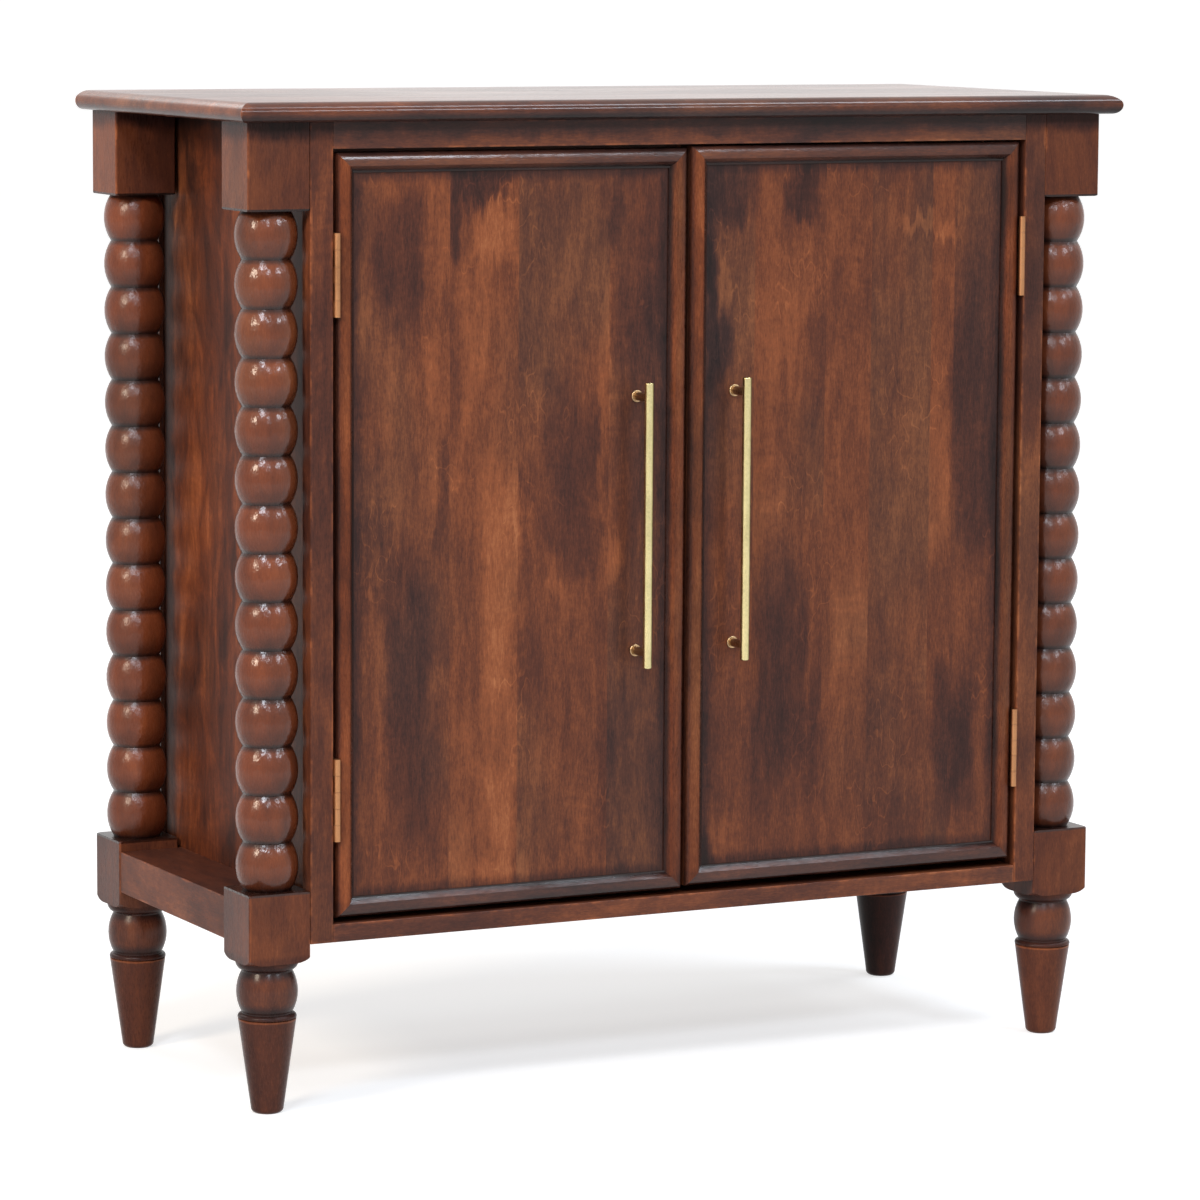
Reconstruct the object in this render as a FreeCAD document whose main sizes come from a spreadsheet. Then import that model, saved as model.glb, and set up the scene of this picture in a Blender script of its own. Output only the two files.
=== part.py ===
import FreeCAD, Part
import math
import os
import re
import Sketcher

# Storage cabinet with two doors between four turned bobbin posts.
# Millimetres. The origin is on the floor, at the centre of the closed cabinet's box.
# The doors face -Y, the left door is on the -X side and +Z is up.

SIZES = {
    # Whole cabinet, measured over the outer faces of the posts
    "cabinet_height": 914,
    "post_span": 883,
    "post_depth": 373,
    # Top board, with a nose along the front and both ends
    "top_thickness": 18,
    "top_side_overhang": 14.5,
    "top_front_overhang": 19,
    "top_back_overhang": 6,
    "nose_under_radius": 8.5,
    "nose_tip_radius": 7,
    "nose_run": 14,
    # Square blocks of the posts
    "block_side": 60,
    "block_arris_round": 1.8,
    "stock_share": 0.72,
    "shoulder_round": 4,
    "block_base_round": 11,
    "lower_block_base": 150,
    "lower_block_top": 205.5,
    "upper_block_height": 78.5,
    # Bobbins between the blocks
    "bobbin_count": 14,
    "bobbin_diameter": 57,
    "bobbin_neck_diameter": 44,
    # Turned foot, from the floor up
    "toe_flat_diameter": 22,
    "toe_diameter": 30,
    "toe_round": 5,
    "taper_top_height": 87,
    "taper_top_diameter": 53,
    "groove_depth": 1.2,
    "groove_width": 1.4,
    "lip_diameter": 53.6,
    "lip_height": 1.2,
    "lip_round": 3.2,
    "foot_neck_diameter": 46.6,
    "lower_neck_height": 92.2,
    "ball_base_height": 93.6,
    "ball_top_height": 131,
    "ball_diameter": 56,
    "collar_base_height": 132.2,
    "collar_top_height": 141.2,
    "collar_diameter": 57.6,
    # Face frame and back frame
    "stile_width": 22.2,
    "frame_thickness": 18,
    "top_rail_height": 24,
    "bottom_rail_base": 157,
    "bottom_rail_height": 16.5,
    "edge_round": 0.6,
    "back_top_rail_height": 60,
    "back_bottom_rail_height": 40,
    "back_panel_thickness": 6,
    "back_groove_depth": 8,
    "back_panel_play": 1,
    # Sides, bottom and shelf
    "side_panel_inset": 4,
    "base_rail_inset": 1,
    "base_rail_height": 39,
    "tenon_thickness": 22,
    "tenon_height": 26,
    "shelf_height_share": 0.475,
    "shelf_thickness": 16,
    "shelf_play": 0.5,
    "shelf_front_setback": 34,
    "cleat_thickness": 18,
    "cleat_height": 22,
    "cleat_end_gap": 20,
    "stop_batten_height": 34,
    "stop_batten_thickness": 18,
    "door_rest_gap": 0.4,
    # Doors
    "door_end_gaps": 8.5,
    "door_thickness": 18,
    "side_gap": 4.5,
    "centre_gap": 4,
    "left_door_lift": 5,
    "right_door_lift": 7,
    "moulding_width": 18,
    "moulding_height": 7,
    "moulding_edge": 0.3,
    "moulding_crest": 12,
    "moulding_crown_radius": 26,
    "moulding_quirk": 1.5,
    # Butt hinges
    "hinge_length": 75,
    "hinge_end_distance": 71,
    "knuckle_count": 5,
    "knuckle_gap": 0.3,
    "knuckle_diameter": 6,
    "pin_diameter": 2.6,
    "pin_clearance": 0.05,
    "pin_forward": 1.4,
    "pin_door_gap": 1.2,
    "leaf_thickness": 1.4,
    "leaf_width": 15,
    "hinge_screw_depth": 11.5,
    "hinge_screw_diameter": 2.6,
    "hinge_screw_head": 5.2,
    "hinge_screw_head_height": 1.3,
    "hinge_screw_length": 13,
    "hinge_screw_end_distance": 11,
    # Bar handles
    "bar_diameter": 8.5,
    "bar_length": 264,
    "bar_end_round": 1.2,
    "handle_projection": 25,
    "handle_spacing": 236,
    "handle_backset": 49,
    "stem_diameter": 8,
    "flange_diameter": 11.5,
    "flange_thickness": 2,
    "flange_round": 1,
    "handle_screw_diameter": 4,
    "handle_screw_head": 8,
    "handle_screw_head_height": 2.2,
    "handle_screw_reach": 12,
    # Magnetic catches behind the top rail
    "catch_length": 46,
    "catch_depth": 15,
    "catch_height": 13,
    "catch_from_centre": 26,
    "magnet_length": 22,
    "magnet_depth": 9,
    "magnet_height": 7,
    "catch_magnet_gap": 0.4,
    "strike_length": 30,
    "strike_height": 12,
    "strike_thickness": 1,
    "strike_stud_diameter": 3,
    "strike_stud_length": 8,
    "catch_screw_diameter": 2.8,
    "catch_screw_head": 5.6,
    "catch_screw_head_height": 1.6,
    "catch_screw_length": 25,
    "catch_screw_end_distance": 5.5,
    # Wood screws of the cleats
    "wood_screw_diameter": 4,
    "wood_screw_head": 8,
    "wood_screw_head_height": 2.4,
    "wood_screw_length": 30,
    "cleat_screw_end_distance": 30,
    # How far a cut runs past the piece that it goes through
    "overrun": 5,
}

doc = FreeCAD.newDocument("storage_cabinet")
sheet = doc.addObject("Spreadsheet::Sheet", "sizes")
for row, (alias, size) in enumerate(SIZES.items(), start=1):
    sheet.set(f"A{row}", alias)
    sheet.set(f"B{row}", str(size))
    sheet.setAlias(f"B{row}", alias)
doc.recompute()

# Places and sizes that several pieces share, worked out from the sheet
HALF_SPAN = "(post_span / 2)"
TOP_UNDERSIDE = "(cabinet_height - top_thickness)"
UPPER_BLOCK_BASE = f"({TOP_UNDERSIDE} - upper_block_height)"
FRONT_REACH = "max(handle_projection - moulding_height + bar_diameter / 2; top_front_overhang)"
FRONT = f"(({FRONT_REACH} - post_depth - top_back_overhang) / 2)"
BACK = f"({FRONT} + post_depth)"
BACK_FRAME_FRONT = f"({BACK} - frame_thickness)"
CARCASE_FRONT = f"({FRONT} + frame_thickness)"
CARCASE_DEPTH = "(post_depth - 2 * frame_thickness)"
OPENING_INSET = "(block_side + stile_width)"
OPENING_WIDTH = f"(post_span - 2 * {OPENING_INSET})"
OPENING_BASE = "(bottom_rail_base + bottom_rail_height)"
OPENING_HEIGHT = f"({TOP_UNDERSIDE} - top_rail_height - {OPENING_BASE})"
FRAME_HEIGHT = f"({TOP_UNDERSIDE} - bottom_rail_base)"
TENON_BASE = "(bottom_rail_base + (base_rail_height - tenon_height) / 2)"
SHELF_BASE = f"({OPENING_BASE} + shelf_height_share * {OPENING_HEIGHT})"
PANEL_INSET = "(block_side + side_panel_inset)"
PANEL_THICKNESS = "(stile_width - side_panel_inset)"
STOP_BASE = f"({TOP_UNDERSIDE} - stop_batten_height)"
DOOR_WIDTH = f"(({OPENING_WIDTH} - 2 * side_gap - centre_gap) / 2)"
DOOR_HEIGHT = f"({OPENING_HEIGHT} - door_end_gaps)"
DOOR_EDGE_INSET = f"({OPENING_INSET} + side_gap)"
DOOR_FRONT = f"({FRONT} + moulding_height)"
DOOR_BACK = f"({DOOR_FRONT} + door_thickness)"
STOP_FRONT = f"({DOOR_BACK} + door_rest_gap)"
CLEAT_START = f"({STOP_FRONT} + stop_batten_thickness)"
CLEAT_LENGTH = f"({BACK_FRAME_FRONT} - {CLEAT_START} - cleat_end_gap)"
CLEAT_BASES = {
    "top": f"({TOP_UNDERSIDE} - cleat_height)",
    "shelf": f"({SHELF_BASE} - cleat_height)",
}
CATCH_FRONT = f"({DOOR_BACK} + strike_thickness + catch_magnet_gap)"
PIN_INSET = f"({DOOR_EDGE_INSET} - pin_door_gap)"
PIN_Y = f"({FRONT} - pin_forward)"
KNUCKLE_REACH = "(knuckle_diameter / 2 + knuckle_gap)"
KNUCKLE_LENGTH = "((hinge_length - (knuckle_count - 1) * knuckle_gap) / knuckle_count)"
DOOR_LIFT = {"left": "left_door_lift", "right": "right_door_lift"}

UPWARD = FreeCAD.Rotation()
TURNS = {
    "+x": FreeCAD.Rotation(FreeCAD.Vector(0, 1, 0), 90),
    "-x": FreeCAD.Rotation(FreeCAD.Vector(0, 1, 0), -90),
    "+y": FreeCAD.Rotation(FreeCAD.Vector(1, 0, 0), -90),
    "-y": FreeCAD.Rotation(FreeCAD.Vector(1, 0, 0), 90),
    "+z": UPWARD,
}

nodes = []


def linked(text):
    """The text as an expression, with each size's name led by its sheet."""
    return re.sub(r"[a-z]\w*", lambda word: f"sizes.{word[0]}" if word[0] in SIZES else word[0], text)


def number(text):
    """The value of an expression at the sheet's present sizes."""
    return float(sheet.evalExpression(linked(text)))


def bind(piece, **expressions):
    """Bind properties of a piece to expressions."""
    for name, text in expressions.items():
        piece.setExpression(name, linked(text))


def place(piece, x, y, z, rotation=UPWARD):
    """Turn a piece, then bind its position."""
    piece.Placement = FreeCAD.Placement(FreeCAD.Vector(), rotation)
    for axis, text in zip("xyz", (x, y, z)):
        piece.setExpression(f"Placement.Base.{axis}", linked(text))
    return piece


def node(piece, label):
    """Name a finished piece and keep it for export."""
    piece.Label = label
    nodes.append(piece)
    return piece


def across(side, inset, width):
    """X of a piece of this width, set in from the outer post face on its side."""
    if side == "left":
        return f"-{HALF_SPAN} + {inset}"
    return f"{HALF_SPAN} - {inset} - {width}"


def pin_x(side):
    return f"-{HALF_SPAN} + {PIN_INSET}" if side == "left" else f"{HALF_SPAN} - {PIN_INSET}"


def door_base(side):
    return f"({OPENING_BASE} + {DOOR_LIFT[side]})"


def box(name, x, y, z, width, depth, height):
    """A plain block, its low corner at the given place."""
    block = doc.addObject("Part::Box", name)
    bind(block, Length=width, Width=depth, Height=height)
    return place(block, x, y, z)


def cylinder(name, x, y, z, diameter, height, rotation=UPWARD):
    rod = doc.addObject("Part::Cylinder", name)
    bind(rod, Radius=f"{diameter} / 2", Height=height)
    return place(rod, x, y, z, rotation)


def cut(name, base, tool):
    result = doc.addObject("Part::Cut", name)
    result.Base = base
    result.Tool = tool
    return result


def join(name, pieces):
    """Fuse what touches; what doesn't stays as separate solids."""
    result = doc.addObject("Part::MultiFuse", name)
    result.Shapes = pieces
    return result


def rounded_board(name, x, y, z, width, depth, height):
    """A board with all its edges eased."""
    body = doc.addObject("PartDesign::Body", name)
    blank = body.newObject("PartDesign::AdditiveBox", f"{name}_blank")
    bind(blank, Length=width, Width=depth, Height=height)
    doc.recompute()
    eased = body.newObject("PartDesign::Fillet", f"{name}_eased")
    eased.Base = (blank, ["Face1"])
    eased.UseAllEdges = True
    bind(eased, Radius="edge_round")
    return place(body, x, y, z)


def new_sketch(body, name, role):
    """An empty sketch on one of the body's own origin planes."""
    sketch = body.newObject("Sketcher::SketchObject", name)
    plane = next(item for item in body.Origin.OriginFeatures if item.Role == role)
    sketch.AttachmentSupport = [(plane, "")]
    sketch.MapMode = "FlatFace"
    return sketch


def arc_through(start, end, radius, bulge):
    """The short arc from start to end that bulges to the right (1) or left (-1)."""
    chord = end - start
    half = chord.Length / 2
    sagitta = radius - math.sqrt(max(radius ** 2 - half ** 2, 0))
    outward = FreeCAD.Vector(chord.y, -chord.x, 0).normalize()
    middle = (start + end) / 2 + outward * sagitta * bulge
    return Part.Arc(start, middle, end)


def draw_outline(sketch, corners):
    """Draw a closed outline whose corners are bound to expressions.

    A corner is (x, y), or (x, y, radius, bulge) where an arc leaves it.
    """
    points = [FreeCAD.Vector(number(corner[0]), number(corner[1]), 0) for corner in corners]
    edges = []
    for start, end, corner in zip(points, points[1:] + points[:1], corners):
        if len(corner) == 2:
            curve = Part.LineSegment(start, end)
        else:
            curve = arc_through(start, end, number(corner[2]), corner[3])
        edge = sketch.addGeometry(curve, False)
        # An arc may hold its ends the other way round
        first = sketch.getPoint(edge, 1)
        forward = first.distanceToPoint(start) < first.distanceToPoint(end)
        edges.append((edge, 1, 2) if forward else (edge, 2, 1))
    for index, corner in enumerate(corners):
        edge, start_end, _ = edges[index]
        previous, _, previous_end = edges[index - 1]
        sketch.addConstraint(Sketcher.Constraint("Coincident", previous, previous_end, edge, start_end))
        hold(sketch, Sketcher.Constraint("DistanceX", -1, 1, edge, start_end, points[index].x), corner[0])
        hold(sketch, Sketcher.Constraint("DistanceY", -1, 1, edge, start_end, points[index].y), corner[1])
        if len(corner) > 2:
            hold(sketch, Sketcher.Constraint("Radius", edge, number(corner[2])), corner[2])


def hold(sketch, constraint, text):
    """Add a constraint and bind its value to an expression."""
    index = sketch.addConstraint(constraint)
    sketch.setExpression(f"Constraints[{index}]", linked(text))


def extruded(body, name, role, corners, length):
    """Pad an outline along the normal of one of the body's planes."""
    sketch = new_sketch(body, f"{name}_outline", role)
    draw_outline(sketch, corners)
    pad = body.newObject("PartDesign::Pad", name)
    pad.Profile = sketch
    bind(pad, Length=length)
    return pad


def turned(body, name, corners):
    """Turn an outline, drawn as radius and height, about the body's upright axis."""
    sketch = new_sketch(body, f"{name}_outline", "XZ_Plane")
    draw_outline(sketch, corners)
    turning = body.newObject("PartDesign::Revolution", name)
    turning.Profile = sketch
    turning.ReferenceAxis = (sketch, ["V_Axis"])
    turning.Angle = 360
    return turning


def pocketed(body, name, role, outlines, length, toward_normal):
    """Cut outlines drawn on one of the body's planes to a depth."""
    sketch = new_sketch(body, f"{name}_outline", role)
    for corners in outlines:
        draw_outline(sketch, corners)
    pocket = body.newObject("PartDesign::Pocket", name)
    pocket.Profile = sketch
    pocket.Reversed = toward_normal
    bind(pocket, Length=length)
    return pocket


def rounded_square(side, corner_radius):
    """An upright square about the origin with rounded corners, anticlockwise."""
    far = f"{side} / 2"
    near = f"({side} / 2 - {corner_radius})"
    return [
        (f"-{near}", f"-{far}"),
        (near, f"-{far}", corner_radius, 1),
        (far, f"-{near}"),
        (far, near, corner_radius, 1),
        (near, far),
        (f"-{near}", far, corner_radius, 1),
        (f"-{far}", near),
        (f"-{far}", f"-{near}", corner_radius, 1),
    ]


def rectangle(x_low, x_high, y_low, y_high):
    return [(x_low, y_low), (x_high, y_low), (x_high, y_high), (x_low, y_high)]


# Screws

def screw(name, x, y, z, direction, kind, length):
    """One screw, its head's outer face at the given place, driven in a direction."""
    turn = TURNS[direction]
    shank = cylinder(f"{name}_shank", x, y, z, f"{kind}_diameter", length, turn)
    head = doc.addObject("Part::Cone", f"{name}_head")
    bind(head, Radius1=f"{kind}_head / 2", Radius2=f"{kind}_diameter / 2", Height=f"{kind}_head_height")
    place(head, x, y, z, turn)
    return join(name, [shank, head])


# Carcase

def post_outline():
    """Half the turned outline of a post, from the floor to the top board."""
    stock = "(block_side * stock_share)"
    neck = "bobbin_neck_diameter / 2"
    taper_top = "taper_top_diameter / 2"
    foot_neck = "foot_neck_diameter / 2"
    pitch = f"(({UPPER_BLOCK_BASE} - lower_block_top) / bobbin_count)"
    swell = "((bobbin_diameter - bobbin_neck_diameter) / 2)"
    bobbin_radius = f"(({pitch} / 2)^2 + {swell}^2) / (2 * {swell})"
    ball_rise = "((ball_top_height - ball_base_height) / 2)"
    ball_swell = "((ball_diameter - foot_neck_diameter) / 2)"
    ball_radius = f"({ball_rise}^2 + {ball_swell}^2) / (2 * {ball_swell})"
    corners = [
        ("0", "0"),
        ("toe_flat_diameter / 2", "0", "toe_round", 1),
        ("toe_diameter / 2", "toe_round"),
        (taper_top, "taper_top_height"),
        (f"{taper_top} - groove_depth", "taper_top_height + groove_width / 2"),
        ("lip_diameter / 2", "taper_top_height + groove_width"),
        ("lip_diameter / 2", "taper_top_height + groove_width + lip_height", "lip_round", 1),
        (foot_neck, "lower_neck_height"),
        (foot_neck, "ball_base_height", ball_radius, 1),
        (foot_neck, "ball_top_height"),
        (foot_neck, "collar_base_height", "(collar_top_height - collar_base_height)", 1),
        ("collar_diameter / 2", "collar_top_height", "block_base_round", 1),
        (stock, "lower_block_base"),
        (stock, "lower_block_top - shoulder_round", "shoulder_round", 1),
        (f"{stock} - shoulder_round", "lower_block_top"),
    ]
    for bobbin in range(int(number("bobbin_count"))):
        corners.append((neck, f"lower_block_top + {bobbin} * {pitch}", bobbin_radius, 1))
    return corners + [
        (neck, UPPER_BLOCK_BASE),
        (f"{stock} - shoulder_round", UPPER_BLOCK_BASE, "shoulder_round", 1),
        (stock, f"{UPPER_BLOCK_BASE} + shoulder_round"),
        (stock, TOP_UNDERSIDE),
        ("0", TOP_UNDERSIDE),
    ]


def make_post(side, end):
    """A post turned from one square length, with a mortise for its side's base rail."""
    label = f"{end}_{side}_post"
    body = doc.addObject("PartDesign::Body", label)
    turned(body, f"{label}_turning", post_outline())
    square = rounded_square("block_side", "block_arris_round")
    beyond = "(block_side * stock_share + overrun / 2)"
    around = rectangle(f"-{beyond}", beyond, f"-{beyond}", beyond)
    pocketed(body, f"{label}_flats", "XY_Plane", [around, square], f"{TOP_UNDERSIDE} + overrun", True)
    mortise = rectangle("-tenon_thickness / 2", "tenon_thickness / 2",
                        TENON_BASE, f"{TENON_BASE} + tenon_height")
    # The normal of the XZ plane is -Y, and a front post's mortise opens towards +Y
    pocketed(body, f"{label}_mortise", "XZ_Plane", [mortise], "block_side / 2 + overrun", end == "back")
    y = f"{FRONT} + block_side / 2" if end == "front" else f"{BACK} - block_side / 2"
    x = f"-{HALF_SPAN} + block_side / 2" if side == "left" else f"{HALF_SPAN} - block_side / 2"
    return node(place(body, x, y, "0"), label)


def make_base_rail(side):
    """The thick rail between the lower blocks of one side, tenoned into both."""
    label = f"{side}_base_rail"
    width = f"({PANEL_INSET} - base_rail_inset)"
    length = "(post_depth - 2 * block_side)"
    rail = rounded_board(f"{label}_bar", across(side, "base_rail_inset", width), f"{FRONT} + block_side",
                         "bottom_rail_base", width, length, "base_rail_height")
    tenon_x = across(side, "(block_side - tenon_thickness) / 2", "tenon_thickness")
    tenon = box(f"{label}_tenons", tenon_x, f"{FRONT} + block_side / 2", TENON_BASE,
                "tenon_thickness", f"{length} + block_side", "tenon_height")
    return node(join(f"{label}_joined", [rail, tenon]), label)


def nose(half_width, flip=False):
    """The corners of the nose at the right end of an outline, or mirrored for its left end."""
    rise = "(top_thickness - nose_under_radius)"
    run = "(nose_run - nose_tip_radius)"
    crown = f"(({run}^2 + {rise}^2 - nose_tip_radius^2) / (2 * ({rise} - nose_tip_radius)))"
    lean = f"(nose_tip_radius / ({crown} - nose_tip_radius))"
    tip_end_x = f"({half_width} - nose_tip_radius + {lean} * {run})"
    tip_end_y = f"nose_under_radius + {lean} * ({crown} - {rise})"
    if not flip:
        return [
            (f"{half_width} - nose_under_radius", "0", "nose_under_radius", 1),
            (half_width, "nose_under_radius", "nose_tip_radius", 1),
            (tip_end_x, tip_end_y, crown, 1),
            (f"{half_width} - nose_run", "top_thickness"),
        ]
    return [
        (f"-({half_width} - nose_run)", "top_thickness", crown, 1),
        (f"-{tip_end_x}", tip_end_y, "nose_tip_radius", 1),
        (f"-{half_width}", "nose_under_radius", "nose_under_radius", 1),
        (f"-({half_width} - nose_under_radius)", "0"),
    ]


def make_top_board(screws):
    """The top, where the nose along the front meets those of the ends in mitres."""
    half_width = f"({HALF_SPAN} + top_side_overhang)"
    front_edge = f"(top_front_overhang - {FRONT})"
    back_edge = f"({BACK} + top_back_overhang)"
    lengthwise = doc.addObject("PartDesign::Body", "top_board_ends")
    extruded(lengthwise, "top_board_ends_pad", "XZ_Plane", nose(half_width) + nose(half_width, flip=True),
             f"{front_edge} + {back_edge}")
    place(lengthwise, "0", back_edge, TOP_UNDERSIDE)
    crosswise = doc.addObject("PartDesign::Body", "top_board_front")
    square_end = [(back_edge, "0"), (back_edge, "top_thickness")]
    extruded(crosswise, "top_board_front_pad", "YZ_Plane", square_end + nose(front_edge, flip=True),
             f"2 * {half_width}")
    place(crosswise, f"-{half_width}", "0", TOP_UNDERSIDE)
    blank = doc.addObject("Part::Common", "top_board_blank")
    blank.Base = lengthwise
    blank.Tool = crosswise
    return node(cut("top_board_drilled", blank, screws), "top_board")


def make_stile(side, screws):
    """A front stile, drilled for the frame leaves of its door's hinges."""
    label = f"{side}_stile"
    stile = rounded_board(f"{label}_board", across(side, "block_side", "stile_width"), FRONT,
                          "bottom_rail_base", "stile_width", "frame_thickness", FRAME_HEIGHT)
    return node(cut(f"{label}_drilled", stile, screws), label)


def make_front_rails():
    x = f"-{OPENING_WIDTH} / 2"
    node(rounded_board("top_rail_board", x, FRONT, f"{TOP_UNDERSIDE} - top_rail_height",
                       OPENING_WIDTH, "frame_thickness", "top_rail_height"), "top_rail")
    node(rounded_board("bottom_rail_board", x, FRONT, "bottom_rail_base",
                       OPENING_WIDTH, "frame_thickness", "bottom_rail_height"), "bottom_rail")


def make_back():
    """Two stiles and two rails, grooved on their inner edges round a thin panel."""
    low_x = f"-{OPENING_WIDTH} / 2"
    panel_y = f"{BACK_FRAME_FRONT} + (frame_thickness - back_panel_thickness) / 2"
    groove_base = "(bottom_rail_base + back_bottom_rail_height - back_groove_depth)"
    groove_top = f"({TOP_UNDERSIDE} - back_top_rail_height + back_groove_depth)"
    groove = box("back_groove", f"{low_x} - back_groove_depth", panel_y, groove_base,
                 f"{OPENING_WIDTH} + 2 * back_groove_depth", "back_panel_thickness",
                 f"{groove_top} - {groove_base}")
    for label, x, z, width, height in (
        ("back_left_stile", across("left", "block_side", "stile_width"),
         "bottom_rail_base", "stile_width", FRAME_HEIGHT),
        ("back_right_stile", across("right", "block_side", "stile_width"),
         "bottom_rail_base", "stile_width", FRAME_HEIGHT),
        ("back_top_rail", low_x,
         f"{TOP_UNDERSIDE} - back_top_rail_height", OPENING_WIDTH, "back_top_rail_height"),
        ("back_bottom_rail", low_x,
         "bottom_rail_base", OPENING_WIDTH, "back_bottom_rail_height"),
    ):
        board = rounded_board(f"{label}_board", x, BACK_FRAME_FRONT, z, width, "frame_thickness", height)
        node(cut(f"{label}_grooved", board, groove), label)
    reach = "(back_groove_depth - back_panel_play)"
    node(box("back_panel_board", f"{low_x} - {reach}", panel_y, groove_base,
             f"{OPENING_WIDTH} + 2 * {reach}", "back_panel_thickness",
             f"{groove_top} - {groove_base} - back_panel_play"), "back_panel")


def make_side_panel(side, screws):
    label = f"{side}_side_panel"
    panel = box(f"{label}_board", across(side, PANEL_INSET, PANEL_THICKNESS), CARCASE_FRONT,
                "bottom_rail_base", PANEL_THICKNESS, CARCASE_DEPTH, FRAME_HEIGHT)
    return node(cut(f"{label}_drilled", panel, screws), label)


def make_boards():
    """The cabinet's floor and its shelf."""
    node(box("bottom_board_blank", f"-{OPENING_WIDTH} / 2", CARCASE_FRONT, "bottom_rail_base",
             OPENING_WIDTH, CARCASE_DEPTH, "bottom_rail_height"), "bottom_board")
    shelf = rounded_board(
        "shelf_board",
        f"-{OPENING_WIDTH} / 2 + shelf_play",
        f"{FRONT} + shelf_front_setback",
        SHELF_BASE,
        f"{OPENING_WIDTH} - 2 * shelf_play",
        "(post_depth - shelf_front_setback - frame_thickness - shelf_play)",
        "shelf_thickness")
    node(shelf, "shelf")


def cleat_screws():
    """Screws of the cleats: outwards into each side, and up into the top."""
    sideways = []
    upward = []
    near = f"{CLEAT_START} + cleat_screw_end_distance"
    middle = f"{CLEAT_START} + {CLEAT_LENGTH} / 2"
    far = f"{CLEAT_START} + {CLEAT_LENGTH} - cleat_screw_end_distance"
    for side, direction in (("left", "-x"), ("right", "+x")):
        inner = across(side, f"({OPENING_INSET} + cleat_thickness)", "0")
        centre = across(side, f"({OPENING_INSET} + cleat_thickness / 2)", "0")
        for step, y in enumerate((near, far)):
            for level, base in CLEAT_BASES.items():
                z = f"{base} + cleat_height / 2"
                sideways.append(screw(f"{side}_{level}_cleat_screw_{step}", inner, y, z,
                                      direction, "wood_screw", "wood_screw_length"))
        for step, y in enumerate((f"({near}) / 2 + ({middle}) / 2", f"({middle}) / 2 + ({far}) / 2")):
            upward.append(screw(f"{side}_top_screw_{step}", centre, y, CLEAT_BASES["top"],
                                "+z", "wood_screw", "wood_screw_length"))
    return node(join("cleat_screws_group", sideways + upward), "cleat_screws")


def make_cleats(screws):
    for side in ("left", "right"):
        for level, base in CLEAT_BASES.items():
            label = f"{side}_{level}_cleat"
            cleat = box(f"{label}_bar", across(side, OPENING_INSET, "cleat_thickness"), CLEAT_START, base,
                        "cleat_thickness", CLEAT_LENGTH, "cleat_height")
            node(cut(f"{label}_drilled", cleat, screws), label)


# Catches

def catch_x(side):
    """Low X of a catch beside the meeting edges of the doors."""
    return "-(catch_from_centre + catch_length)" if side == "left" else "catch_from_centre"


def make_catches():
    """A stop for both doors under the top board, with a magnetic catch for each."""
    screws = []
    magnets = []
    cases = {}
    for side in ("left", "right"):
        low_x = catch_x(side)
        middle_y = f"{CATCH_FRONT} + catch_depth / 2"
        for step, x in enumerate((f"{low_x} + catch_screw_end_distance",
                                  f"{low_x} + catch_length - catch_screw_end_distance")):
            screws.append(screw(f"{side}_catch_screw_{step}", x, middle_y, f"{STOP_BASE} - catch_height",
                                "+z", "catch_screw", "catch_screw_length"))
        magnets.append(box(f"{side}_magnet", f"{low_x} + (catch_length - magnet_length) / 2", CATCH_FRONT,
                           f"{STOP_BASE} - (catch_height + magnet_height) / 2",
                           "magnet_length", "magnet_depth", "magnet_height"))
        cases[side] = box(f"{side}_catch_case", low_x, CATCH_FRONT, f"{STOP_BASE} - catch_height",
                          "catch_length", "catch_depth", "catch_height")
    screw_group = node(join("catch_screws_group", screws), "catch_screws")
    magnet_group = node(join("catch_magnets_group", magnets), "catch_magnets")
    for side, case in cases.items():
        hollow = cut(f"{side}_catch_hollow", case, magnet_group)
        node(cut(f"{side}_catch_drilled", hollow, screw_group), f"{side}_catch")
    stop = box("door_stop_bar", f"-{OPENING_WIDTH} / 2", STOP_FRONT, STOP_BASE,
               OPENING_WIDTH, "stop_batten_thickness", "stop_batten_height")
    node(cut("door_stop_drilled", stop, screw_group), "door_stop")


def make_strike(side):
    """The catch's steel plate, with a stud pressed into the door's back."""
    x = f"{catch_x(side)} + (catch_length - strike_length) / 2"
    z = f"{STOP_BASE} - (catch_height + strike_height) / 2"
    plate = box(f"{side}_strike_face", x, DOOR_BACK, z, "strike_length", "strike_thickness", "strike_height")
    stud = cylinder(f"{side}_strike_stud", f"{x} + strike_length / 2", f"{DOOR_BACK} - strike_stud_length",
                    f"{z} + strike_height / 2", "strike_stud_diameter",
                    "strike_stud_length + strike_thickness / 2", TURNS["+y"])
    return node(join(f"{side}_strike_joined", [plate, stud]), f"{side}_strike_plate")


# Hinges

def hinge_base(side, level):
    """Low Z of a hinge, set in from an end of its door."""
    if level == "lower":
        return f"({door_base(side)} + hinge_end_distance)"
    return f"({door_base(side)} + {DOOR_HEIGHT} - hinge_end_distance - hinge_length)"


def leaf_screws(side, leaf):
    """The screws of both hinges of a door on one leaf."""
    outward = (leaf == "frame") == (side == "left")
    inset = f"({OPENING_INSET} + leaf_thickness)"
    if leaf == "door":
        inset = f"({DOOR_EDGE_INSET} - leaf_thickness)"
    screws = []
    for level in ("lower", "upper"):
        low = hinge_base(side, level)
        for step, z in enumerate((f"{low} + hinge_screw_end_distance",
                                  f"{low} + hinge_length / 2",
                                  f"{low} + hinge_length - hinge_screw_end_distance")):
            screws.append(screw(f"{side}_{level}_{leaf}_screw_{step}", across(side, inset, "0"),
                                f"{FRONT} + hinge_screw_depth", z, "-x" if outward else "+x",
                                "hinge_screw", "hinge_screw_length"))
    return join(f"{side}_{leaf}_hinge_screws_group", screws)


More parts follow.
